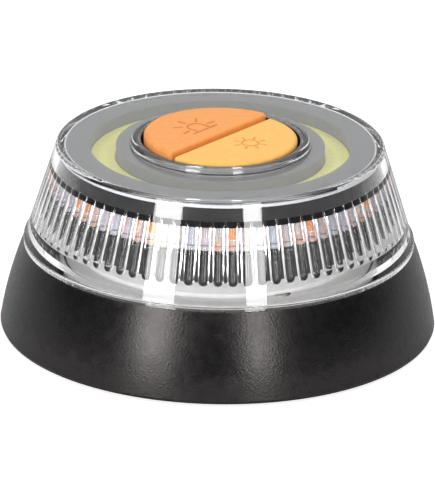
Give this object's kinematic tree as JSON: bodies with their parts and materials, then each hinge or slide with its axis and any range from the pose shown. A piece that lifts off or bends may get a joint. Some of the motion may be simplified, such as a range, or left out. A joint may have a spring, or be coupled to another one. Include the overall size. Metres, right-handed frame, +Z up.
{
  "type": "battery hazard beacon",
  "caption": "Squat round battery hazard beacon with black skirt, clear fluted lens, amber LED ring, yellow work-light ring and two half-round press keys on top.",
  "frame": {"origin": "centre of the round foot, on the surface the beacon stands on", "axes": "+Z up along the beacon's axis, -Y the front with the lower (amber) key towards it, +X to the right seen from the front"},
  "size_m": [0.1, 0.1, 0.0464],
  "materials": {
    "soft_black": "black ABS skirt with a fine leathery soft-touch grain",
    "clear_lens": "clear polycarbonate, polished outside, fluted inside",
    "black_abs": "black ABS, fine spark-eroded texture",
    "seal_rubber": "black silicone seal",
    "screw_steel": "zinc-plated steel, pan head",
    "magnet_nickel": "nickel-plated neodymium",
    "foot_rubber": "black rubber pad",
    "cell_wrap": "plain printed sleeve with a bare steel nub",
    "contact_nickel": "nickel-plated spring steel",
    "board_green": "green solder resist",
    "chip_black": "moulded epoxy with tinned legs",
    "ferrite_grey": "dark ferrite drum",
    "capacitor_can": "aluminium can",
    "lead_red": "PVC insulation",
    "core_black": "satin black moulding",
    "deck_white": "white reflector moulding, satin",
    "board_white": "white solder resist, cool tint",
    "led_amber": "amber LED package with a phosphor window",
    "bezel_grey": "satin grey moulding",
    "cob_aluminium": "aluminium-core board, white resist",
    "phosphor_yellow": "yellow silicone phosphor",
    "key_orange": "orange silicone-coated key, satin",
    "key_amber": "amber silicone-coated key, satin",
    "dome_silicone": "translucent grey silicone"
  },
  "bodies": {
    "housing": {"base_housing": "soft_black", "lens_cover": "clear_lens", "bottom_plate": "black_abs", "base_seal": "seal_rubber", "case_screws": "screw_steel", "magnets": "magnet_nickel", "foot_pads": "foot_rubber", "battery_cells": "cell_wrap", "contact_springs": "contact_nickel", "bridge_contacts": "contact_nickel", "terminal_contacts": "contact_nickel", "main_board": "board_green", "board_screws": "screw_steel", "driver_chip": "chip_black", "inductor": "ferrite_grey", "capacitors": "capacitor_can", "lead_wires": "lead_red", "light_tower": "core_black", "tower_screws": "screw_steel", "reflector_deck": "deck_white", "led_strip": "board_white", "amber_leds": "led_amber", "core_cap": "core_black", "collar_seal": "seal_rubber", "top_bezel": "bezel_grey", "cob_board": "cob_aluminium", "phosphor_ring": "phosphor_yellow", "beacon_dome": "dome_silicone", "torch_dome": "dome_silicone", "switch_board": "board_green", "switch_screws": "screw_steel"},
    "beacon_key": {"beacon_key": "key_orange"},
    "torch_key": {"torch_key": "key_amber"},
    "battery_cover": {"battery_cover": "black_abs", "cover_seal": "seal_rubber"}
  },
  "joints": [
    {"name": "beacon_key_press", "type": "slide", "parent": "housing", "child": "beacon_key", "axis": [0, 0, -1], "range_m": [0, 0.0012], "stiffness_N_per_m": 1500, "springref_m": -0.001, "deforming": ["beacon_dome"]},
    {"name": "torch_key_press", "type": "slide", "parent": "housing", "child": "torch_key", "axis": [0, 0, -1], "range_m": [0, 0.0012], "stiffness_N_per_m": 1500, "springref_m": -0.001, "deforming": ["torch_dome"]},
    {"name": "battery_cover_turn", "type": "hinge", "parent": "housing", "child": "battery_cover", "pos_m": [0, 0, 0.002], "axis": [0, 0, -1], "range_deg": [0, 25]}
  ]
}
